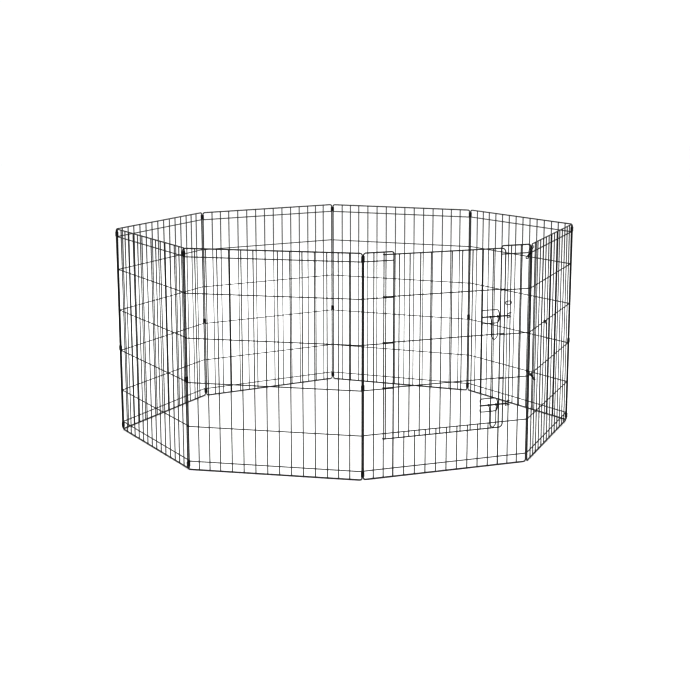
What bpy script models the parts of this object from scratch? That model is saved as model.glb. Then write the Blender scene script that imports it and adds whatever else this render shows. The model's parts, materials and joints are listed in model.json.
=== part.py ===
"""Folding wire pet playpen: eight welded wire panels hinged by corner clips, with a latched door.

Metres, +Z up. The door panel faces -Y, the pen stands on Z = 0 and its plan is centred on the origin.
Panels are drawn in their own frame: X runs from the left frame wire to the right one as seen from
outside the pen, Y points into the pen, Z up. Run it with blender --background --python part.py.
"""
import cmath
import math

import bmesh
import bpy
from mathutils import Matrix, Vector

# ---- driving dimensions
PANEL_WIDTH = 0.6096           # outer width of one panel's frame, 24 in
PANEL_HEIGHT = 0.762           # outer height of a panel, 30 in
FRAME_RADIUS = 0.0022          # thick wire bent round each panel
WIRE_RADIUS = 0.00165          # thin wires welded across it, an edge towards each side of the panel
WIRE_SIDES = 4
LAYER = 0.00135                # thin wires' axes stand this far off the panel's middle plane
BEND_RADIUS = 0.008            # bend at the panels' corners
LEVELS = (0.04, 0.2, 0.4, 0.6, 0.8, 0.96)    # crosswise wires, as fractions of the height
BAR_GAP = 0.0413               # usual gap between upright wires on a plain panel
WIDE_GAPS = 11                 # how many of a plain panel's gaps are that wide
NARROW_AFTER = (1, 2, 12, 13)  # the other gaps, counted from the left
BAR_GAPS = 15

CORNER_PITCH = 0.007           # the two frame wires of a corner, in their clips
CLIP_LEAN = 65.0               # a clip leans this far off its panel, to the side that folds, degrees
CORNER_TURNS = {"front": 33.3, "middle": 47.6, "side": 55.4}    # plan angles, degrees
BACK_SIDE_TURN = 33.6           # near the two turns that close the outline
CLIP_CLEARANCE = 0.0003
CLIP_WALL = 0.0008
CLIP_HEIGHT = 0.0165

LEFT_JAMB_X = 0.1063           # the doorway's jambs, from the door panel's left frame wire
RIGHT_JAMB_X = 0.4967
SIDE_GAPS = 3                  # gaps between upright wires beside the doorway
SILL_GAPS = 10                 # and under it
DOOR_FRAME_RADIUS = 0.0019
DOOR_PLANE = -0.0066           # the door lies against the outside of its panel
DOOR_RIGHT = 0.5088            # the door's free edge, from the panel's left frame wire
DOOR_LEFT_STILE = 0.0042       # the door's first upright, from the hinge axis
DOOR_TOP = 0.7525
DOOR_BOTTOM = 0.1360
DOOR_RAIL_LIFT = 0.0042        # the door's rails pass just above the panel's crosswise wires
DOOR_BARS = 10
DOOR_BAR_PITCH = 0.0378
DOOR_BAR_FIRST = 0.1222
DOOR_CORNER = 0.014
EYE_CLEARANCE = 0.0004
EYE_WALL = 0.0024
EYE_HEIGHT = 0.0028

LATCH_HEIGHTS = {"upper": 0.5240, "lower": 0.2193}
LATCH_X = 0.4515               # middle of a latch guide
GUIDE_WIDTH = 0.0640
GUIDE_HEIGHT = 0.0460
GUIDE_RADIUS = 0.0016
BOLT_RADIUS = 0.0022
BOLT_LENGTH = 0.1070
BOLT_END = 0.5250              # tip of a closed bolt
HANDLE_RADIUS = 0.0015
HANDLE_LENGTH = 0.0800
HANDLE_WIDTH = 0.0228          # between the legs
HANDLE_EYES = 0.0276           # between the eyes
HANDLE_EYE_WALL = 0.0018
HANDLE_X = 0.4660
KEEPER_RADIUS = 0.0015
KEEPER_HALF_HEIGHT = 0.0068
KEEPER_GAP = 0.0012            # from the door's free edge to a keeper's nose
PIECE_GAP = 0.0003             # between pieces that touch

SNAP_TILT = 45.0               # a thumb snap hangs from the corner at this slope, degrees
SNAP_HEIGHTS = {"upper": 0.7440, "lower": 0.3175}
SNAP_SIDES = {"upper": 1, "lower": -1}
JAW_HALF_LENGTH = 0.0115       # inside of a snap's hook
JAW_HALF_WIDTH = 0.0034
JAW_RADIUS = 0.0013
SHANK_RADIUS = 0.0034
SHANK_LENGTH = 0.0190
SNAP_BORE = 0.0019
SNAP_PIN = 0.0014
THUMB_TRAVEL = 0.0060

TIE_X = 0.5245                 # a ring of wire on the door panel, for a tie or a lock
TIE_HEIGHT = 0.5660
TIE_RADIUS = 0.0014

HOOK_X = 0.2200                # the spare hook on the front right panel
HOOK_LEVEL = 3                 # it hangs on this crosswise wire
HOOK_RADIUS = 0.0016
HOOK_EYE = 0.0040
HOOK_DROP = 0.0620

# ---- worked out from them
FRAME_FLAT = FRAME_RADIUS * math.cos(math.pi / 8)
SPAN = PANEL_WIDTH - 2 * FRAME_FLAT                 # between a panel's two side wires
FLOOR_WIRE = FRAME_FLAT
TOP_WIRE = PANEL_HEIGHT - FRAME_FLAT
NARROW_GAP = (SPAN - WIDE_GAPS * BAR_GAP) / (BAR_GAPS - WIDE_GAPS)
HINGE_X = LEFT_JAMB_X * (SIDE_GAPS - 1) / SIDE_GAPS           # the wire next to the jamb
KEEPER_BAR_X = RIGHT_JAMB_X + (SPAN - RIGHT_JAMB_X) / SIDE_GAPS
DOOR_OUTSIDE = DOOR_PLANE - LAYER - WIRE_RADIUS
HANDLE_BORE = (BOLT_RADIUS + PIECE_GAP) / math.cos(math.pi / 8)
BOLT_Y = DOOR_OUTSIDE - PIECE_GAP - HANDLE_BORE - HANDLE_EYE_WALL
PANEL_OUTSIDE = -LAYER - WIRE_RADIUS

BLACK = {"color": (0.012, 0.012, 0.013), "roughness": 0.38, "metallic": 0.25}
ZINC = {"color": (0.030, 0.030, 0.032), "roughness": 0.30, "metallic": 0.85}


# ---- geometry helpers
def rounded(points, radius, steps=2, closed=False):
    """The same path with each corner turned into an arc."""
    points = [Vector(p) for p in points]
    count = len(points)
    path = []
    for i, here in enumerate(points):
        if not closed and i in (0, count - 1):
            path.append(here)
            continue
        back = (points[i - 1] - here).normalized()
        ahead = (points[(i + 1) % count] - here).normalized()
        turn = back.angle(ahead)
        reach = radius / math.tan(turn / 2)
        middle = here + (back + ahead).normalized() * radius / math.sin(turn / 2)
        first = here + back * reach - middle
        last = here + ahead * reach - middle
        spin = first.cross(last).normalized()
        sweep = first.angle(last)
        for k in range(steps + 1):
            path.append(middle + Matrix.Rotation(sweep * k / steps, 3, spin) @ first)
    return path


def tube(bm, points, radius, sides=6, up=(0, 1, 0), closed=False, phase=0.0):
    """A wire of even thickness along a path, mitred where the path turns."""
    points = [Vector(p) for p in points]
    up = Vector(up)
    count = len(points)
    rings = []
    for i, here in enumerate(points):
        back = points[i - 1] if i or closed else None
        ahead = points[(i + 1) % count] if i < count - 1 or closed else None
        arriving = (here - back).normalized() if back is not None else (ahead - here).normalized()
        leaving = (ahead - here).normalized() if ahead is not None else arriving
        tangent = (arriving + leaving).normalized()
        across = up.cross(tangent).normalized()
        lift = tangent.cross(across).normalized()
        stretch = leaving - arriving
        widen = 1 / max(tangent.dot(leaving), 0.2)
        mitre = stretch.normalized() if stretch.length > 1e-6 else across
        ring = []
        for k in range(sides):
            angle = 2 * math.pi * k / sides + phase
            offset = (lift * math.cos(angle) + across * math.sin(angle)) * radius
            offset += mitre * offset.dot(mitre) * (widen - 1)
            ring.append(bm.verts.new(here + offset))
        rings.append(ring)
    spans = count if closed else count - 1
    for i in range(spans):
        low, high = rings[i], rings[(i + 1) % count]
        for k in range(sides):
            n = (k + 1) % sides
            bm.faces.new((low[k], low[n], high[n], high[k]))
    if not closed:
        bm.faces.new(reversed(rings[0]))
        bm.faces.new(rings[-1])


def wall(bm, outer, inner, z_low, z_high):
    """An upright ring between two outlines with the same number of corners."""
    loops = []
    for outline in (outer, inner):
        for z in (z_low, z_high):
            loops.append([bm.verts.new((x, y, z)) for x, y in outline])
    outer_low, outer_high, inner_low, inner_high = loops
    count = len(outer)
    for k in range(count):
        n = (k + 1) % count
        bm.faces.new((outer_low[k], outer_low[n], outer_high[n], outer_high[k]))
        bm.faces.new((inner_low[n], inner_low[k], inner_high[k], inner_high[n]))
        bm.faces.new((outer_high[k], outer_high[n], inner_high[n], inner_high[k]))
        bm.faces.new((outer_low[n], outer_low[k], inner_low[k], inner_low[n]))


def circle(radius, sides, centre=(0.0, 0.0), phase=0.0):
    points = []
    for k in range(sides):
        angle = 2 * math.pi * k / sides + phase
        points.append((centre[0] + radius * math.cos(angle), centre[1] + radius * math.sin(angle)))
    return points


def mesh_from(name, build, *args):
    """A mesh filled by one of the shape functions below, all its faces turned outwards."""
    bm = bmesh.new()
    build(bm, *args)
    bmesh.ops.recalc_face_normals(bm, faces=bm.faces)
    mesh = bpy.data.meshes.new(name)
    bm.to_mesh(mesh)
    bm.free()
    return mesh


def combined(name, base, other, operation="UNION"):
    """Two meshes joined or cut into one closed body."""
    first = bpy.data.objects.new(name + "_base", base)
    second = bpy.data.objects.new(name + "_other", other)
    for each in (first, second):
        bpy.context.scene.collection.objects.link(each)
    boolean = first.modifiers.new("combine", "BOOLEAN")
    boolean.operation = operation
    boolean.solver = "EXACT"
    boolean.use_self = True
    boolean.object = second
    graph = bpy.context.evaluated_depsgraph_get()
    result = bpy.data.meshes.new_from_object(first.evaluated_get(graph))
    result.name = name
    for each in (first, second):
        bpy.data.objects.remove(each)
    return result


def turned(degrees):
    return Matrix.Rotation(math.radians(degrees), 4, "Z")


def shifted(x=0.0, y=0.0, z=0.0):
    return Matrix.Translation((x, y, z))


# ---- panels
def plain_bar_places():
    places = []
    x = 0.0
    for gap in range(BAR_GAPS - 1):
        x += NARROW_GAP if gap in NARROW_AFTER else BAR_GAP
        places.append(x)
    return places


def upright(bm, x, z_low=FLOOR_WIRE, z_high=TOP_WIRE, y=-LAYER):
    over = FRAME_FLAT * 0.4
    tube(bm, [(x, y, z_low - over), (x, y, z_high + over)], WIRE_RADIUS, WIRE_SIDES)


def crosswise(bm, z, x_low=0.0, x_high=SPAN, y=LAYER):
    over = FRAME_FLAT * 0.4
    tube(bm, [(x_low - over, y, z), (x_high + over, y, z)], WIRE_RADIUS, WIRE_SIDES)


def plain_grid(bm):
    for x in plain_bar_places():
        upright(bm, x)
    for level in LEVELS:
        crosswise(bm, level * PANEL_HEIGHT)


def plain_frame(bm):
    corners = [(0, 0, FLOOR_WIRE), (SPAN, 0, FLOOR_WIRE), (SPAN, 0, TOP_WIRE), (0, 0, TOP_WIRE)]
    path = rounded(corners, BEND_RADIUS, closed=True)
    tube(bm, path, FRAME_RADIUS, sides=8, closed=True, phase=math.pi / 8)


def evenly(low, high, gaps):
    """The places that divide a stretch into equal gaps, its ends left out."""
    return [low + (high - low) * k / gaps for k in range(1, gaps)]


def door_panel_grid(bm):
    sill = LEVELS[1] * PANEL_HEIGHT
    beside = evenly(0.0, LEFT_JAMB_X, SIDE_GAPS) + evenly(RIGHT_JAMB_X, SPAN, SIDE_GAPS)
    for x in beside:
        upright(bm, x)
    for x in evenly(LEFT_JAMB_X, RIGHT_JAMB_X, SILL_GAPS):
        upright(bm, x, z_high=sill)
    for level in LEVELS:
        height = level * PANEL_HEIGHT
        if height <= sill:
            crosswise(bm, height)
            continue
        crosswise(bm, height, x_high=LEFT_JAMB_X)
        crosswise(bm, height, x_low=RIGHT_JAMB_X)


def door_panel_frame(bm):
    """The frame wire turns down at the doorway to make both jambs."""
    corners = [
        (LEFT_JAMB_X, 0, FLOOR_WIRE),
        (LEFT_JAMB_X, 0, TOP_WIRE),
        (0, 0, TOP_WIRE),
        (0, 0, FLOOR_WIRE),
        (SPAN, 0, FLOOR_WIRE),
        (SPAN, 0, TOP_WIRE),
        (RIGHT_JAMB_X, 0, TOP_WIRE),
        (RIGHT_JAMB_X, 0, FLOOR_WIRE),
    ]
    path = rounded(corners, BEND_RADIUS)
    tube(bm, path, FRAME_RADIUS, sides=8, phase=math.pi / 8)


# ---- door, drawn in the door panel's frame
def rail_heights():
    return [level * PANEL_HEIGHT + DOOR_RAIL_LIFT for level in LEVELS[2:5]]


def door_frame(bm):
    corners = [
        (HINGE_X, DOOR_PLANE, DOOR_TOP),
        (DOOR_RIGHT, DOOR_PLANE, DOOR_TOP),
        (DOOR_RIGHT, DOOR_PLANE, DOOR_BOTTOM),
        (HINGE_X, DOOR_PLANE, DOOR_BOTTOM),
    ]
    tube(bm, rounded(corners, DOOR_CORNER), DOOR_FRAME_RADIUS, sides=8, phase=math.pi / 8)


def door_grid(bm):
    bars = [DOOR_BAR_FIRST + DOOR_BAR_PITCH * k for k in range(DOOR_BARS)]
    for x in [HINGE_X + DOOR_LEFT_STILE] + bars:
        upright(bm, x, DOOR_BOTTOM, DOOR_TOP, DOOR_PLANE - LAYER)
    for z in rail_heights():
        crosswise(bm, z, HINGE_X, DOOR_RIGHT, DOOR_PLANE + LAYER)
    bore = (WIRE_RADIUS + EYE_CLEARANCE) / math.cos(math.pi / 8)
    for z in [DOOR_BOTTOM] + rail_heights() + [DOOR_TOP]:
        centre = (HINGE_X, -LAYER)
        outer = circle(bore + EYE_WALL, 8, centre, math.pi / 8)
        inner = circle(bore, 8, centre, math.pi / 8)
        wall(bm, outer, inner, z - EYE_HEIGHT / 2, z + EYE_HEIGHT / 2)


# ---- latches, drawn round the point where the bolt's axis crosses the guide's middle
def guide(bm):
    """A wire rectangle whose ends bow outwards over the bolt."""
    weld_y = DOOR_OUTSIDE - PIECE_GAP - GUIDE_RADIUS - BOLT_Y
    bow_y = -BOLT_RADIUS - PIECE_GAP - GUIDE_RADIUS
    half_x = GUIDE_WIDTH / 2
    half_z = GUIDE_HEIGHT / 2
    bow_z = half_z * 0.3
    right = [
        (half_x, weld_y, half_z),
        (half_x, bow_y, bow_z),
        (half_x, bow_y, -bow_z),
        (half_x, weld_y, -half_z),
    ]
    left = [(-x, y, -z) for x, y, z in right]
    path = rounded(right + left, 0.006, closed=True)
    tube(bm, path, GUIDE_RADIUS, closed=True)


def bolt(bm):
    tip = BOLT_END - LATCH_X
    tail = tip - BOLT_LENGTH
    profile = [(tail, 0.0016), (tail + 0.0012, BOLT_RADIUS), (tip - 0.0030, BOLT_RADIUS), (tip, 0.0009)]
    rings = []
    for x, radius in profile:
        rings.append([bm.verts.new((x, y, z)) for y, z in circle(radius, 10)])
    for low, high in zip(rings, rings[1:]):
        for k in range(len(low)):
            n = (k + 1) % len(low)
            bm.faces.new((low[k], low[n], high[n], high[k]))
    bm.faces.new(reversed(rings[0]))
    bm.faces.new(rings[-1])


def handle_loop(bm):
    """The pull: two legs that draw in below the bolt and meet in a point."""
    half = HANDLE_WIDTH / 2
    wide = HANDLE_EYES / 2
    bow = -0.0046
    shoulder = -0.0200
    shin = -HANDLE_LENGTH + 0.0140
    corners = [(wide, -0.0032, -0.0030), (half, bow, shoulder), (half, bow, shin), (0, bow, -HANDLE_LENGTH)]
    other_leg = [(-x, y, z) for x, y, z in corners[2::-1]]
    path = [Vector((x + HANDLE_X - LATCH_X, y, z)) for x, y, z in corners + other_leg]
    tube(bm, rounded(path, 0.004), HANDLE_RADIUS)


def handle_eyes(bm):
    """Two eyes that turn on the bolt."""
    for side in (-1, 1):
        x = HANDLE_X - LATCH_X + side * HANDLE_EYES / 2
        start = len(bm.verts)
        outer = circle(HANDLE_BORE + HANDLE_EYE_WALL, 8, phase=math.pi / 8)
        inner = circle(HANDLE_BORE, 8, phase=math.pi / 8)
        wall(bm, outer, inner, -0.0015, 0.0015)
        bm.verts.ensure_lookup_table()
        upended = Matrix.Rotation(math.pi / 2, 4, "Y")
        bmesh.ops.transform(bm, matrix=shifted(x) @ upended, verts=bm.verts[start:])


def keeper(bm):
    """A staple that stands out from the panel and passes over the bolt's end."""
    near = PANEL_OUTSIDE - PIECE_GAP - KEEPER_RADIUS - BOLT_Y
    far = -BOLT_RADIUS - PIECE_GAP - KEEPER_RADIUS
    foot_x = KEEPER_BAR_X - LATCH_X + 0.0040
    heel_x = foot_x - 0.0085
    nose_x = DOOR_RIGHT + DOOR_FRAME_RADIUS + KEEPER_GAP + KEEPER_RADIUS - LATCH_X
    high = KEEPER_HALF_HEIGHT
    upper_arm = [(foot_x, near, high), (heel_x, near, high), (nose_x, far, high)]
    lower_arm = [(x, y, -z) for x, y, z in reversed(upper_arm)]
    tube(bm, rounded(upper_arm + lower_arm, 0.0024), KEEPER_RADIUS, up=(0.35, 1, 0))


def tie_loop(bm):
    """A small closed ring of wire on the panel above the upper keeper."""
    half_x = 0.0105
    half_z = 0.0058
    corners = [(half_x, 0, half_z), (-half_x, 0, half_z), (-half_x, 0, -half_z), (half_x, 0, -half_z)]
    tube(bm, rounded(corners, 0.0045, closed=True), TIE_RADIUS, closed=True)


# ---- corner clips
def clip(bm):
    """A strip of steel wrapped round both frame wires and pinched between them."""
    inner_radius = FRAME_RADIUS + CLIP_CLEARANCE
    half = CORNER_PITCH / 2

    def outline(radius, pinch):
        points = [(0.0, -pinch), (half - radius * 0.30, -radius)]
        for k in range(4):
            angle = math.radians(-67.5 + 45 * k)
            reach = radius / math.cos(math.radians(22.5))
            points.append((half + reach * math.cos(angle), reach * math.sin(angle)))
        points.append((half - radius * 0.30, radius))
        mirrored = [(-x, -y) for x, y in points]
        return points + mirrored

    inner = outline(inner_radius, 0.0016)
    outer = outline(inner_radius + CLIP_WALL, 0.0016 + CLIP_WALL)
    wall(bm, outer, inner, -CLIP_HEIGHT / 2, CLIP_HEIGHT / 2)


def clip_heights():
    """One clip under the top bend, one above a crosswise wire, one over the bottom bend."""
    rest = WIRE_RADIUS + PIECE_GAP + CLIP_HEIGHT / 2
    return {
        "top": LEVELS[5] * PANEL_HEIGHT + rest,
        "middle": LEVELS[2] * PANEL_HEIGHT + rest,
        "bottom": LEVELS[0] * PANEL_HEIGHT - rest,
    }


# ---- thumb snaps: X along the shank, Y to the outside of the pen, the hook round the origin
def snap_hook(bm):
    bar_y = JAW_HALF_WIDTH + JAW_RADIUS
    end_x = JAW_HALF_LENGTH + JAW_RADIUS
    corners = [
        (end_x + 0.0030, 0, 0),
        (end_x, -bar_y * 0.6, 0),
        (end_x - 0.0045, -bar_y, 0),
        (-end_x + 0.0040, -bar_y, 0),
        (-end_x, -bar_y * 0.25, 0),
        (-end_x, bar_y * 0.55, 0),
        (-end_x + 0.0030, bar_y, 0),
    ]
    tube(bm, rounded(corners, 0.0018, steps=1), JAW_RADIUS, up=(0, 0, 1))


def snap_shank(bm):
    start = JAW_HALF_LENGTH + JAW_RADIUS
    axis_y = JAW_HALF_WIDTH + JAW_RADIUS
    outer = circle(SHANK_RADIUS, 10)
    inner = circle(SNAP_BORE, 10)
    upended = Matrix.Rotation(math.pi / 2, 4, "Y")
    wall(bm, outer, inner, 0.0, SHANK_LENGTH)
    place = shifted(start, axis_y) @ upended
    bmesh.ops.transform(bm, matrix=place, verts=bm.verts[:])


def snap_tail(bm):
    """A bridge from hook to shank, a plug at the bore's end and the eye behind it."""
    start = JAW_HALF_LENGTH + JAW_RADIUS
    axis_y = JAW_HALF_WIDTH + JAW_RADIUS
    end = start + SHANK_LENGTH
    plug = [(end - 0.0030, axis_y, 0), (end + 0.0020, axis_y, 0)]
    tube(bm, plug, SHANK_RADIUS * 0.8, sides=10, up=(0, 0, 1))
    ring = circle(0.0052, 8, (end + 0.0055, axis_y))
    tube(bm, [(x, y, 0) for x, y in ring], 0.0015, up=(0, 0, 1), closed=True)
    tube(bm, [(start - 0.0002, 0, 0), (start + 0.0060, axis_y * 0.1, 0)], 0.0018, up=(0, 0, 1))


def snap_slot(bm):
    """The cutter for the thumb piece's slot, on the outside of the shank."""
    start = JAW_HALF_LENGTH + JAW_RADIUS + 0.0050
    axis_y = JAW_HALF_WIDTH + JAW_RADIUS
    length = THUMB_TRAVEL + 0.0032
    size = Matrix.Diagonal((length, SHANK_RADIUS * 1.6, 0.0022, 1.0))
    centre = shifted(start + length / 2, axis_y + SHANK_RADIUS * 0.95)
    bmesh.ops.create_cube(bm, size=1.0, matrix=centre @ size)


def thumb_rod(bm):
    start = JAW_HALF_LENGTH + JAW_RADIUS
    axis_y = JAW_HALF_WIDTH + JAW_RADIUS
    gate_end = -JAW_HALF_LENGTH + JAW_RADIUS + 0.0026
    tube(bm, [(gate_end, axis_y, 0), (start + 0.0085, axis_y, 0)], SNAP_PIN, sides=8, up=(0, 0, 1))


def thumb_knob(bm):
    x = JAW_HALF_LENGTH + JAW_RADIUS + 0.0066
    axis_y = JAW_HALF_WIDTH + JAW_RADIUS
    stem = [(x, axis_y, 0), (x, axis_y + SHANK_RADIUS + 0.0012, 0)]
    tube(bm, stem, 0.0008, sides=6, up=(0, 0, 1))
    head = [(x, axis_y + SHANK_RADIUS + 0.0006, 0), (x, axis_y + SHANK_RADIUS + 0.0030, 0)]
    tube(bm, head, 0.0032, sides=10, up=(0, 0, 1))


# ---- spare hook: eye round a crosswise wire at the origin, shank below, bend at the bottom
def hook_wire(bm):
    eye = circle(HOOK_EYE, 8, phase=math.pi / 8)
    ring = [(0, y, z) for y, z in eye]
    tube(bm, ring, HOOK_RADIUS, up=(1, 0, 0), closed=True)


def hook_shank(bm):
    y = -LAYER + PANEL_OUTSIDE - 2 * PIECE_GAP - HOOK_RADIUS
    corners = [
        (0, -HOOK_EYE * 0.7, -HOOK_EYE * 0.7),
        (0, y, -0.0120),
        (0, y, -HOOK_DROP),
        (0.0300, y, -HOOK_DROP - 0.0060),
        (0.0400, y, -HOOK_DROP + 0.0060),
    ]
    tube(bm, rounded(corners, 0.0050), HOOK_RADIUS)


# ---- assembly
def material(name, look):
    made = bpy.data.materials.new(name)
    made.use_nodes = True
    shader = made.node_tree.nodes["Principled BSDF"]
    shader.inputs["Base Color"].default_value = (*look["color"], 1.0)
    shader.inputs["Roughness"].default_value = look["roughness"]
    shader.inputs["Metallic"].default_value = look["metallic"]
    return made


def empty(name, parent, matrix):
    pivot = bpy.data.objects.new(name, None)
    pivot.empty_display_size = 0.03
    bpy.context.scene.collection.objects.link(pivot)
    pivot.parent = parent
    pivot.matrix_local = matrix
    return pivot


def node(name, mesh, parent, matrix=None, look=BLACK):
    mesh = mesh.copy()
    mesh.name = name
    mesh.materials.clear()
    mesh.materials.append(material(name, look))
    mesh.shade_smooth()
    mesh.set_sharp_from_angle(angle=math.radians(50))
    made = bpy.data.objects.new(name, mesh)
    bpy.context.scene.collection.objects.link(made)
    made.parent = parent
    made.matrix_local = matrix or Matrix.Identity(4)
    return made


def corner_bends(number, turn):
    """The bend at a corner's right-hand wire and at its left-hand one, in degrees.

    The clips are fixed on the panel nearer the back one, where the bend is their lean.
    """
    lean = CLIP_LEAN if number % 2 else -CLIP_LEAN
    return (lean, turn - lean) if number > ROOT else (turn - lean, lean)


def outline_gap(turns):
    """How far a walk leftwards round the pen ends from its start, as a complex number."""
    place = 0j
    heading = 0.0
    for number, turn in enumerate(turns, 1):
        last = number == len(turns)
        right, left = (turn / 2, turn / 2) if last else corner_bends(number, turn)
        heading -= math.radians(right)
        place -= CORNER_PITCH * cmath.exp(1j * heading)
        heading -= math.radians(left)
        place -= SPAN * cmath.exp(1j * heading)
    return place


def closing_turns():
    """Corner turns in order from the door panel leftwards round the pen, the open corner last.

    The turns of the two back side corners are what closes the outline.
    """
    front, middle, side = (CORNER_TURNS[k] for k in ("front", "middle", "side"))

    def all_turns(left, right):
        back = 360.0 - front - 2 * (middle + side) - left - right
        return (front, middle, side, left, back, right, side, middle)

    def crossed(u, v):
        return (u.conjugate() * v).imag

    left, right = BACK_SIDE_TURN, BACK_SIDE_TURN
    step = 0.01
    for _ in range(8):
        gap = outline_gap(all_turns(left, right))
        by_left = (outline_gap(all_turns(left + step, right)) - gap) / step
        by_right = (outline_gap(all_turns(left, right + step)) - gap) / step
        area = crossed(by_left, by_right)
        left -= crossed(gap, by_right) / area
        right -= crossed(by_left, gap) / area
    return all_turns(left, right)


# the panels in order from the door leftwards round the pen, as seen from outside
PANEL_NAMES = (
    "door_panel", "front_left_panel", "left_panel", "back_left_panel",
    "back_panel", "back_right_panel", "right_panel", "front_right_panel",
)
ROOT = 4                       # the other panels hang on this one, three leftwards and four rightwards


def clear_scene():
    for each in list(bpy.data.objects):
        bpy.data.objects.remove(each)


def leftwards(number, turn):
    """From a panel's frame to the frame of its left neighbour, across the numbered corner."""
    right, left = corner_bends(number, turn)
    return turned(-right) @ shifted(-CORNER_PITCH) @ turned(-left) @ shifted(-SPAN)


def panel_places(turns):
    """Every panel's place, with the door panel square to the axes and the plan centred."""
    places = [Matrix.Identity(4)]
    for number, turn in enumerate(turns[:-1], 1):
        places.append(places[-1] @ leftwards(number, turn))
    posts = [place @ Vector((x, 0, 0)) for place in places for x in (0.0, SPAN)]
    middle_x = (min(p.x for p in posts) + max(p.x for p in posts)) / 2
    middle_y = (min(p.y for p in posts) + max(p.y for p in posts)) / 2
    return [shifted(-middle_x, -middle_y) @ place for place in places]


def add_corner(number, clip_mesh, carrier, side, turn):
    """A corner's clips, fixed on one panel's wire, and the next panel's pivot in their other half.

    side is 1 where the chain runs to the right and -1 where it runs to the left.
    """
    bends = corner_bends(number, turn)
    lean, bend = bends if number > ROOT else reversed(bends)
    wire = shifted(SPAN if side > 0 else 0.0)
    clips = empty(f"corner_{number}_clips", carrier, wire @ turned(side * lean))
    for level, z in clip_heights().items():
        node(f"corner_clip_{number}_{level}", clip_mesh, clips, shifted(side * CORNER_PITCH / 2, 0, z))
    pivot = empty(f"corner_{number}_pivot", clips, shifted(side * CORNER_PITCH) @ turned(side * bend))
    return empty(f"corner_{number}_panel_origin", pivot, shifted(0.0 if side > 0 else -SPAN))


def add_panels(turns):
    """The chain of panels and clips. Returns the panels' origins by name."""
    plain = combined("plain", mesh_from("grid", plain_grid), mesh_from("frame", plain_frame))
    doorway_grid = mesh_from("grid", door_panel_grid)
    with_doorway = combined("doorway", doorway_grid, mesh_from("frame", door_panel_frame))
    clip_mesh = mesh_from("clip", clip)
    origins = {ROOT: empty("back_panel_origin", None, panel_places(turns)[ROOT])}
    for index in range(ROOT - 1, -1, -1):
        origins[index] = add_corner(index + 1, clip_mesh, origins[index + 1], 1, turns[index])
    for index in range(ROOT + 1, len(PANEL_NAMES)):
        origins[index] = add_corner(index, clip_mesh, origins[index - 1], -1, turns[index - 1])
    for index, name in enumerate(PANEL_NAMES):
        node(name, plain if index else with_doorway, origins[index])
    return {name: origins[index] for index, name in enumerate(PANEL_NAMES)}


def add_door(door_panel):
    """The door with its two latches, and the keepers and the tie loop on the door panel."""
    hinge = empty("door_pivot", door_panel, shifted(HINGE_X, -LAYER))
    door = combined("door", mesh_from("grid", door_grid), mesh_from("frame", door_frame))
    node("door", door, hinge, shifted(-HINGE_X, LAYER))
    handle = combined("handle", mesh_from("loop", handle_loop), mesh_from("eyes", handle_eyes))
    shapes = {"guide": mesh_from("guide", guide), "bolt": mesh_from("bolt", bolt)}
    staple = mesh_from("keeper", keeper)
    for level, z in LATCH_HEIGHTS.items():
        on_door = empty(f"{level}_latch_origin", hinge, shifted(LATCH_X - HINGE_X, BOLT_Y + LAYER, z))
        node(f"{level}_bolt_guide", shapes["guide"], on_door)
        slide = empty(f"{level}_bolt_slide", on_door, Matrix.Identity(4))
        node(f"{level}_bolt", shapes["bolt"], slide, look=ZINC)
        swing = empty(f"{level}_handle_pivot", slide, Matrix.Identity(4))
        node(f"{level}_bolt_handle", handle, swing)
        node(f"{level}_keeper", staple, door_panel, shifted(LATCH_X, BOLT_Y, z))
    loop_y = PANEL_OUTSIDE - PIECE_GAP - TIE_RADIUS
    node("tie_loop", mesh_from("tie_loop", tie_loop), door_panel, shifted(TIE_X, loop_y, TIE_HEIGHT))


def add_snaps(owners, turn):
    """The two snaps that close the pen's last corner, each lying along the panel that owns it."""
    hook = combined("hook", mesh_from("hook", snap_hook), mesh_from("shank", snap_shank))
    whole = combined("snap", hook, mesh_from("tail", snap_tail))
    body = combined("snap", whole, mesh_from("slot", snap_slot), "DIFFERENCE")
    thumb = combined("thumb", mesh_from("rod", thumb_rod), mesh_from("knob", thumb_knob))
    for level, z in SNAP_HEIGHTS.items():
        side = SNAP_SIDES[level]
        wire = shifted(SPAN if side > 0 else 0.0)
        corner = wire @ turned(side * turn / 2) @ shifted(side * CORNER_PITCH / 2, 0, z)
        tilt = math.radians(SNAP_TILT)
        along = Vector((-side * math.cos(tilt), 0, -math.sin(tilt)))
        outside = Vector((0, -1, 0))
        axes = Matrix((along, outside, along.cross(outside))).transposed().to_4x4()
        place = empty(f"{level}_snap_origin", owners[level], corner @ axes)
        node(f"{level}_snap_body", body, place, look=ZINC)
        slide = empty(f"{level}_snap_slide", place, Matrix.Identity(4))
        node(f"{level}_snap_thumb", thumb, slide, look=ZINC)


def add_spare_hook(panel):
    pivot = empty("spare_hook_pivot", panel, shifted(HOOK_X, LAYER, LEVELS[HOOK_LEVEL] * PANEL_HEIGHT))
    made = combined("hook", mesh_from("eye", hook_wire), mesh_from("shank", hook_shank))
    node("spare_hook", made, pivot)


def build():
    clear_scene()
    turns = closing_turns()
    panels = add_panels(turns)
    add_door(panels["door_panel"])
    snap_owners = {"upper": panels["door_panel"], "lower": panels["front_right_panel"]}
    add_snaps(snap_owners, turns[-1])
    add_spare_hook(panels["front_right_panel"])
    bpy.context.view_layer.update()


build()
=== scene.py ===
"""The playpen as seen: round welded wires, weld beads, satin black coating, soft studio light."""
import json
import math
import random

import bpy
from mathutils import Matrix, Vector


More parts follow.
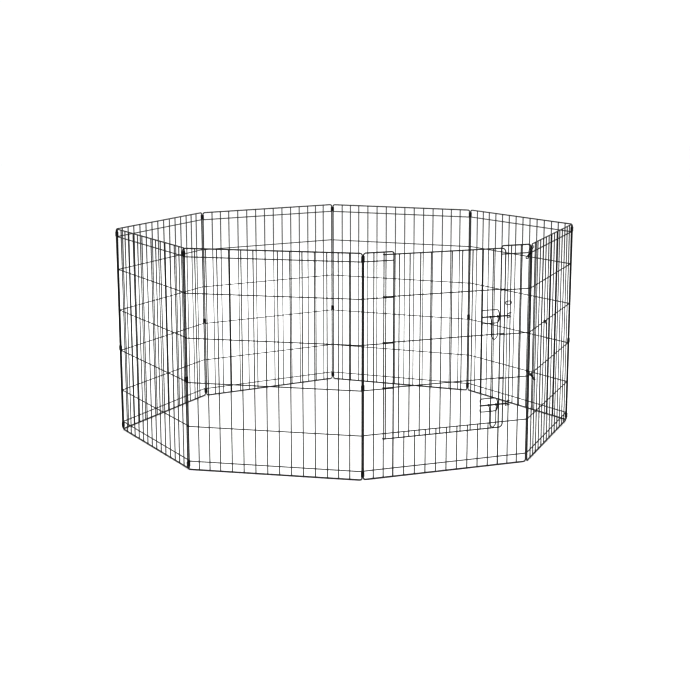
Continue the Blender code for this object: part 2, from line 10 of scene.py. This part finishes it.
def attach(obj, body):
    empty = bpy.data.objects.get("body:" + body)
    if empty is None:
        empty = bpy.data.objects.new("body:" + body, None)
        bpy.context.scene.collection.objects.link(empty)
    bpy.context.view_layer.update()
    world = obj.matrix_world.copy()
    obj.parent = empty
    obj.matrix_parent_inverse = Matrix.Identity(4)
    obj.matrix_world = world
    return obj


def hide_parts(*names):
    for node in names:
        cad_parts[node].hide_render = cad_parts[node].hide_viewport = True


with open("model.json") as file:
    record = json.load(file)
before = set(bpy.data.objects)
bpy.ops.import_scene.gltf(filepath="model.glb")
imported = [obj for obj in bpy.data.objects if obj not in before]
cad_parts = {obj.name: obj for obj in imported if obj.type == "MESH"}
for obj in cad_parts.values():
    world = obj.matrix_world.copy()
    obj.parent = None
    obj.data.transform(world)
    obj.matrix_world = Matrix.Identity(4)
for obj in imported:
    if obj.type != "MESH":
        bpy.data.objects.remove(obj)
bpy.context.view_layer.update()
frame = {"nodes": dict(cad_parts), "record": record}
NODES = frame["nodes"]
RANDOM = random.Random(7)

# ---- the CAD's dimensions, in metres
HEIGHT = 0.762
WIDTH = 0.6096
FLAT = 0.0022 * math.cos(math.pi / 8)      # from a frame wire's axis to its flat
SPAN = WIDTH - 2 * FLAT
FRAME_WIRE = 0.00201
THIN_WIRE = 0.00164
LAYER = 0.00135                            # the thin wires' axes, off the middle plane
BAR_GAP = 0.0413
WIDE_GAPS = 11
BAR_GAPS = 15
NARROW_AFTER = (1, 2, 12, 13)
BEND_RADIUS = 0.008
LEVELS = [level * HEIGHT for level in (0.04, 0.2, 0.4, 0.6, 0.8, 0.96)]
LEFT_JAMB, RIGHT_JAMB = 0.1063, 0.4967
HINGE_X = LEFT_JAMB * 2 / 3
DOOR_PLANE = -0.0066
DOOR_RIGHT = 0.5088
DOOR_TOP, DOOR_BOTTOM = 0.7525, 0.1360
RAIL_LIFT = 0.0042
DOOR_BAR_FIRST, DOOR_BAR_PITCH, DOOR_BARS = 0.1222, 0.0378, 10
DOOR_STILE = 0.0042
DOOR_CORNER = 0.014
DOOR_FRAME_WIRE = 0.00185
EYE_RING, EYE_WIRE = 0.0033, 0.00125
OVERHANG = 0.0006                          # a thin wire's end past the frame wire's axis

# ---- reading a panel's place from its vertices
BOTTOM_ZONE = 0.05
END_ZONE = 0.0005
AIM_ROUNDS = 12

# ---- rounding of the small pieces
BEVEL_WIDTH = 0.00025
BEVEL_ANGLE = 35.0
MERGE_DISTANCE = 0.00001
SWELL = 0.00018                            # makes up for what smoothing takes off a tube

# ---- the camera that sees the pen from the front left
CAMERA_PLACE = (-1.8926, -4.9531, 1.3860)
CAMERA_HEADING = 20.943
CAMERA_TILT = 11.526
CAMERA_ROLL = -0.071
CAMERA_LENS = 74.303
FLOOR_REACH = 14.0


# ---- materials
def coated(name, base, rough, peel=0.05, metallic=0.0, dust=0.4, coat=0.2):
    """Black coating: orange peel, uneven sheen, thin dust low down and on upward faces."""
    made = bpy.data.materials.new(name)
    made.use_nodes = True
    tree = made.node_tree
    new, link = tree.nodes.new, tree.links.new
    shader = tree.nodes["Principled BSDF"]
    place = new("ShaderNodeTexCoord").outputs["Object"]

    def noise(scale, detail=3.0):
        made_noise = new("ShaderNodeTexNoise")
        made_noise.inputs["Scale"].default_value = scale
        made_noise.inputs["Detail"].default_value = detail
        link(place, made_noise.inputs["Vector"])
        return made_noise.outputs["Fac"]

    def spread(value, low, high, start=0.3, end=0.7):
        made_range = new("ShaderNodeMapRange")
        link(value, made_range.inputs["Value"])
        for key, number in (("From Min", start), ("From Max", end), ("To Min", low), ("To Max", high)):
            made_range.inputs[key].default_value = number
        return made_range.outputs["Result"]

    def times(a, b):
        product = new("ShaderNodeMath")
        product.operation = "MULTIPLY"
        link(a, product.inputs[0])
        link(b, product.inputs[1])
        return product.outputs[0]

    apart = new("ShaderNodeSeparateXYZ")
    link(place, apart.inputs[0])
    normal = new("ShaderNodeNewGeometry").outputs["Normal"]
    facing = new("ShaderNodeSeparateXYZ")
    link(normal, facing.inputs[0])
    low_down = spread(apart.outputs["Z"], 1.0, 0.15, 0.0, 0.16)
    upward = spread(facing.outputs["Z"], 0.25, 1.0, 0.0, 1.0)
    patches = spread(noise(38.0, 6.0), 0.0, dust, 0.42, 0.72)
    amount = times(times(low_down, upward), patches)
    mix = new("ShaderNodeMix")
    mix.data_type = "RGBA"
    link(amount, mix.inputs["Factor"])
    tone = new("ShaderNodeValToRGB")
    tone.color_ramp.elements[0].color = tuple(c * 0.75 for c in base) + (1.0,)
    tone.color_ramp.elements[1].color = tuple(c * 1.35 for c in base) + (1.0,)
    link(noise(21.0, 4.0), tone.inputs["Fac"])
    link(tone.outputs["Color"], mix.inputs["A"])
    mix.inputs["B"].default_value = (0.16, 0.15, 0.14, 1.0)
    link(mix.outputs["Result"], shader.inputs["Base Color"])
    link(spread(noise(160.0, 5.0), rough - 0.08, rough + 0.12), shader.inputs["Roughness"])
    shader.inputs["Metallic"].default_value = metallic
    shader.inputs["IOR"].default_value = 1.46
    shader.inputs["Coat Weight"].default_value = coat
    shader.inputs["Coat Roughness"].default_value = 0.22
    bump = new("ShaderNodeBump")
    bump.inputs["Strength"].default_value = peel
    bump.inputs["Distance"].default_value = 0.0004
    link(noise(1400.0, 2.0), bump.inputs["Height"])
    scuff = new("ShaderNodeBump")
    scuff.inputs["Strength"].default_value = peel * 1.5
    scuff.inputs["Distance"].default_value = 0.0006
    link(noise(240.0, 6.0), scuff.inputs["Height"])
    link(bump.outputs["Normal"], scuff.inputs["Normal"])
    link(scuff.outputs["Normal"], shader.inputs["Normal"])
    return made


LOOKS = {
    "panel_wire": coated("panel_wire_coat", (0.009, 0.009, 0.0095), 0.42),
    "door_wire": coated("door_wire_coat", (0.009, 0.009, 0.0095), 0.41),
    "hardware_wire": coated("hardware_coat", (0.011, 0.011, 0.0115), 0.40, peel=0.08),
    "latch_wire": coated("latch_coat", (0.012, 0.012, 0.013), 0.36, peel=0.08, metallic=0.2),
    "clip_steel": coated("clip_coat", (0.009, 0.009, 0.0095), 0.46, peel=0.10),
    "snap_metal": coated("snap_plating", (0.032, 0.032, 0.034), 0.26, peel=0.12, metallic=0.85),
}


# ---- meshes
class Shape:
    """Vertices and faces gathered in a panel's own frame."""

    def __init__(self):
        self.verts = []
        self.faces = []

    def wire(self, path, radius, sides=12, up=(0, 1, 0), closed=False, round_ends=True):
        path = [Vector(p) for p in path]
        count = len(path)
        rings = []
        for i, here in enumerate(path):
            before = path[i - 1] if closed or i else here
            after = path[(i + 1) % count] if closed or i < count - 1 else here
            along = (after - before).normalized()
            side = along.cross(Vector(up)).normalized()
            other = side.cross(along)
            rings.append((here, side, other, along))
        start = len(self.verts)
        if not closed and round_ends:
            first, last = rings[0], rings[-1]
            rings.insert(0, (first[0] - first[3] * radius * 0.35, first[1], first[2], first[3]))
            rings.append((last[0] + last[3] * radius * 0.35, last[1], last[2], last[3]))
        for n, (here, side, other, _) in enumerate(rings):
            tip = not closed and round_ends and n in (0, len(rings) - 1)
            size = radius * (0.72 if tip else 1.0)
            for k in range(sides):
                angle = 2 * math.pi * k / sides
                self.verts.append(here + size * (side * math.cos(angle) + other * math.sin(angle)))
        for n in range(len(rings) if closed else len(rings) - 1):
            a, b = start + n * sides, start + (n + 1) % len(rings) * sides
            for k in range(sides):
                m = (k + 1) % sides
                self.faces.append((a + k, b + k, b + m, a + m))
        if not closed:
            end = start + (len(rings) - 1) * sides
            self.faces.append(tuple(range(start, start + sides)))
            self.faces.append(tuple(reversed(range(end, end + sides))))

    def bead(self, x, y, z, sizes):
        """The squeezed-out steel where two wires are welded."""
        start = len(self.verts)
        around, rows = 10, 5
        sizes = [s * RANDOM.uniform(0.9, 1.08) for s in sizes]
        for row in range(1, rows):
            polar = math.pi * row / rows
            for k in range(around):
                angle = 2 * math.pi * k / around
                self.verts.append(Vector((
                    x + sizes[0] * math.sin(polar) * math.cos(angle),
                    y + sizes[1] * math.cos(polar),
                    z + sizes[2] * math.sin(polar) * math.sin(angle),
                )))
        for row in range(rows - 2):
            a, b = start + row * around, start + (row + 1) * around
            for k in range(around):
                m = (k + 1) % around
                self.faces.append((a + k, a + m, b + m, b + k))
        last = start + (rows - 2) * around
        self.faces.append(tuple(reversed(range(start, start + around))))
        self.faces.append(tuple(range(last, last + around)))

    def made(self, name, place, look):
        mesh = bpy.data.meshes.new(name)
        mesh.from_pydata([place @ v for v in self.verts], [], self.faces)
        mesh.materials.append(LOOKS[look])
        mesh.update()
        mesh.shade_smooth()
        made = bpy.data.objects.new(name, mesh)
        bpy.context.scene.collection.objects.link(made)
        return made


def bent(points, radius, steps=8, closed=False):
    """The path with its corners turned into smooth arcs."""
    points = [Vector(p) for p in points]
    count = len(points)
    path = []
    for i, here in enumerate(points):
        if not closed and i in (0, count - 1):
            path.append(here)
            continue
        back = (points[i - 1] - here).normalized()
        ahead = (points[(i + 1) % count] - here).normalized()
        turn = back.angle(ahead)
        reach = radius / math.tan(turn / 2)
        middle = here + (back + ahead).normalized() * radius / math.sin(turn / 2)
        first, last = here + back * reach - middle, here + ahead * reach - middle
        spin = first.cross(last).normalized()
        sweep = first.angle(last)
        for k in range(steps + 1):
            path.append(middle + Matrix.Rotation(sweep * k / steps, 3, spin) @ first)
    return path


def run(start, end, bow=0.00025, parts=10):
    """A drawn wire's path: all but straight, with a slight bow in its own plane."""
    start, end = Vector(start), Vector(end)
    along = (end - start).normalized()
    side = along.cross(Vector((0, 1, 0)))
    size = RANDOM.uniform(-bow, bow)
    wave = RANDOM.uniform(-bow, bow) * 0.5
    path = []
    for k in range(parts + 1):
        t = k / parts
        off = size * math.sin(math.pi * t) + wave * math.sin(3 * math.pi * t)
        path.append(start.lerp(end, t) + side * off)
    return path


def upright(shape, x, low=FLAT, high=HEIGHT - FLAT, y=-LAYER):
    shape.wire(run((x, y, low - OVERHANG), (x, y, high + OVERHANG)), THIN_WIRE)


def crosswise(shape, z, low=0.0, high=SPAN, y=LAYER):
    shape.wire(run((low - OVERHANG, y, z), (high + OVERHANG, y, z), bow=0.0), THIN_WIRE)


CROSS_BEAD = (0.0019, 0.0015, 0.0019)
FRAME_BEAD = (0.0019, 0.0017, 0.0019)


def plain_panel(place, name):
    shape = Shape()
    corners = [(0, 0, FLAT), (SPAN, 0, FLAT), (SPAN, 0, HEIGHT - FLAT), (0, 0, HEIGHT - FLAT)]
    shape.wire(bent(corners, BEND_RADIUS, closed=True), FRAME_WIRE, 16, closed=True)
    narrow = (SPAN - WIDE_GAPS * BAR_GAP) / (BAR_GAPS - WIDE_GAPS)
    xs, x = [], 0.0
    for gap in range(BAR_GAPS - 1):
        x += narrow if gap in NARROW_AFTER else BAR_GAP
        xs.append(x)
    for x in xs:
        upright(shape, x)
        for z in LEVELS:
            shape.bead(x, 0, z, CROSS_BEAD)
        for z in (FLAT, HEIGHT - FLAT):
            shape.bead(x, -LAYER * 0.7, z, FRAME_BEAD)
    for z in LEVELS:
        crosswise(shape, z)
        for x in (0.0, SPAN):
            shape.bead(x, LAYER * 0.7, z, FRAME_BEAD)
    return shape.made(name, place, "panel_wire")


def evenly(low, high, gaps):
    return [low + (high - low) * k / gaps for k in range(1, gaps)]


def door_panel(place, name):
    shape = Shape()
    top = HEIGHT - FLAT
    corners = [
        (LEFT_JAMB, 0, FLAT), (LEFT_JAMB, 0, top), (0, 0, top), (0, 0, FLAT),
        (SPAN, 0, FLAT), (SPAN, 0, top), (RIGHT_JAMB, 0, top), (RIGHT_JAMB, 0, FLAT),
    ]
    shape.wire(bent(corners, BEND_RADIUS), FRAME_WIRE, 16, round_ends=False)
    sill = LEVELS[1]
    beside = evenly(0.0, LEFT_JAMB, 3) + evenly(RIGHT_JAMB, SPAN, 3)
    below = evenly(LEFT_JAMB, RIGHT_JAMB, 10)
    for x in beside:
        upright(shape, x)
        for z in LEVELS:
            shape.bead(x, 0, z, CROSS_BEAD)
    for x in below:
        upright(shape, x, high=sill)
        for z in LEVELS[:2]:
            shape.bead(x, 0, z, CROSS_BEAD)
    for x in beside + below:
        shape.bead(x, -LAYER * 0.7, FLAT, FRAME_BEAD)
    for z in LEVELS:
        if z <= sill:
            crosswise(shape, z)
        else:
            crosswise(shape, z, high=LEFT_JAMB)
            crosswise(shape, z, low=RIGHT_JAMB)
        for x in (0.0, LEFT_JAMB, RIGHT_JAMB, SPAN):
            shape.bead(x, LAYER * 0.7, z, FRAME_BEAD)
    return shape.made(name, place, "panel_wire")


def door(place, name):
    shape = Shape()
    corners = [
        (HINGE_X, DOOR_PLANE, DOOR_TOP), (DOOR_RIGHT, DOOR_PLANE, DOOR_TOP),
        (DOOR_RIGHT, DOOR_PLANE, DOOR_BOTTOM), (HINGE_X, DOOR_PLANE, DOOR_BOTTOM),
    ]
    shape.wire(bent(corners, DOOR_CORNER), DOOR_FRAME_WIRE, 16)
    rails = [z + RAIL_LIFT for z in LEVELS[2:5]]
    bars = [HINGE_X + DOOR_STILE] + [DOOR_BAR_FIRST + DOOR_BAR_PITCH * k for k in range(DOOR_BARS)]
    for x in bars:
        upright(shape, x, DOOR_BOTTOM, DOOR_TOP, DOOR_PLANE - LAYER)
        for z in rails:
            shape.bead(x, DOOR_PLANE, z, CROSS_BEAD)
        for z in (DOOR_BOTTOM, DOOR_TOP):
            shape.bead(x, DOOR_PLANE - LAYER * 0.7, z, FRAME_BEAD)
    for z in rails:
        crosswise(shape, z, HINGE_X, DOOR_RIGHT, DOOR_PLANE + LAYER)
        shape.bead(DOOR_RIGHT, DOOR_PLANE + LAYER * 0.7, z, FRAME_BEAD)
    for z in [DOOR_BOTTOM] + rails + [DOOR_TOP]:
        turn = [(math.cos(a), math.sin(a)) for a in (2 * math.pi * k / 24 for k in range(24))]
        ring = [(HINGE_X + EYE_RING * c, -LAYER + EYE_RING * s, z) for c, s in turn]
        shape.wire(ring, EYE_WIRE, 12, up=(0, 0, 1), closed=True)
    return shape.made(name, place, "door_wire")


def panel_place(node):
    """A panel's own frame, read from its wires: X to the right from outside, Y into the pen."""
    points = [node.matrix_world @ v.co for v in node.data.vertices]
    lowest = [p for p in points if p.z < BOTTOM_ZONE]
    cx = sum(p.x for p in lowest) / len(lowest)
    cy = sum(p.y for p in lowest) / len(lowest)
    far = max(lowest, key=lambda p: (p.x - cx) ** 2 + (p.y - cy) ** 2)
    other = max(lowest, key=lambda p: (p.x - far.x) ** 2 + (p.y - far.y) ** 2)
    along = Vector((far.x - other.x, far.y - other.y, 0)).normalized()
    for _ in range(AIM_ROUNDS):
        inward = Vector((-along.y, along.x, 0))
        left = [p for p in points if (p - other).dot(along) < END_ZONE + FLAT]
        right = [p for p in points if (p - far).dot(along) > -END_ZONE - FLAT]
        mid_left = (min(p.dot(inward) for p in left) + max(p.dot(inward) for p in left)) / 2
        mid_right = (min(p.dot(inward) for p in right) + max(p.dot(inward) for p in right)) / 2
        along = (along + inward * (mid_right - mid_left) / SPAN).normalized()
    inward = Vector((-along.y, along.x, 0))
    if inward.dot(Vector((cx, cy, 0))) > 0:
        inward, along = -inward, -along
    along = inward.cross(Vector((0, 0, 1)))
    near = min(p.dot(along) for p in points) + FLAT
    depths = [p.dot(inward) for p in points]
    level = (min(depths) + max(depths)) / 2
    origin = along * near + inward * level
    axes = Matrix((along, inward, Vector((0, 0, 1)))).transposed().to_4x4()
    return Matrix.Translation(origin) @ axes


for panel in [n for n in NODES if n.endswith("_panel")]:
    place = panel_place(NODES[panel])
    maker = door_panel if panel == "door_panel" else plain_panel
    made = maker(place, f"{panel}_wires")
    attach(made, panel)
    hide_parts(panel)
    if panel == "door_panel":
        hung = door(place, "door_wires")
        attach(hung, "door")
        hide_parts("door")

# ---- the small pieces keep the CAD's shape, rounded
SLOTS = {each["node"]: each["material_slot"] for each in frame["record"]["subparts"]}
for name, node in NODES.items():
    if name.endswith("_panel") or name == "door":
        continue
    node.data.materials.clear()
    node.data.materials.append(LOOKS[SLOTS[name]])
    weld = node.modifiers.new("weld", "WELD")
    weld.merge_threshold = MERGE_DISTANCE
    if "clip" in name or "snap" in name or name.endswith("_bolt"):
        bevel = node.modifiers.new("bevel", "BEVEL")
        bevel.width = BEVEL_WIDTH
        bevel.segments = 3
        bevel.limit_method = "ANGLE"
        bevel.angle_limit = math.radians(BEVEL_ANGLE)
        bevel.harden_normals = True
    else:
        smooth = node.modifiers.new("smooth", "SUBSURF")
        smooth.levels = 2
        smooth.render_levels = 2
        swell = node.modifiers.new("swell", "DISPLACE")
        swell.strength = SWELL
        swell.mid_level = 0.0


# ---- floor, light and camera
def plain(name, color, rough):
    made = bpy.data.materials.new(name)
    made.use_nodes = True
    shader = made.node_tree.nodes["Principled BSDF"]
    shader.inputs["Base Color"].default_value = (*color, 1)
    shader.inputs["Roughness"].default_value = rough
    shader.inputs["Specular IOR Level"].default_value = 0.2
    return made


floor_mesh = bpy.data.meshes.new("floor")
floor_corners = [(x * FLOOR_REACH, y * FLOOR_REACH, 0) for x, y in ((-1, -1), (1, -1), (1, 1), (-1, 1))]
floor_mesh.from_pydata(floor_corners, [], [(0, 1, 2, 3)])
floor_mesh.materials.append(plain("floor", (0.97, 0.97, 0.97), 0.8))
floor = bpy.data.objects.new("floor", floor_mesh)
floor.location.z = -0.0002
bpy.context.scene.collection.objects.link(floor)

world = bpy.data.worlds.new("studio")
bpy.context.scene.world = world
world.use_nodes = True
world.node_tree.nodes["Background"].inputs["Color"].default_value = (1.0, 1.0, 1.0, 1.0)
world.node_tree.nodes["Background"].inputs["Strength"].default_value = 1.05


def area_light(name, place, target, size, power):
    lamp = bpy.data.lights.new(name, "AREA")
    lamp.size = size
    lamp.energy = power
    made = bpy.data.objects.new(name, lamp)
    made.location = place
    made.rotation_euler = (Vector(target) - Vector(place)).to_track_quat("-Z", "Y").to_euler()
    bpy.context.scene.collection.objects.link(made)


area_light("key", (-2.6, -3.2, 3.4), (0, 0, 0.3), 2.2, 70)
area_light("fill", (3.4, -1.6, 2.6), (0, 0, 0.3), 2.6, 40)
area_light("back", (0.6, 3.6, 3.0), (0, 0, 0.4), 2.4, 50)

lens = bpy.data.cameras.new("camera")
camera = bpy.data.objects.new("camera", lens)
bpy.context.scene.collection.objects.link(camera)
bpy.context.scene.camera = camera
lens.sensor_width = 36
lens.lens = CAMERA_LENS
lens.clip_end = 60
camera.location = CAMERA_PLACE
turn = Matrix.Rotation(-math.radians(CAMERA_HEADING), 4, "Z")
tip = Matrix.Rotation(math.radians(90 - CAMERA_TILT), 4, "X")
roll = Matrix.Rotation(math.radians(CAMERA_ROLL), 4, "Z")
camera.rotation_euler = (turn @ tip @ roll).to_euler()
bpy.context.scene.view_settings.view_transform = "Standard"
bpy.context.scene.view_settings.gamma = 0.5

bpy.context.view_layer.update()
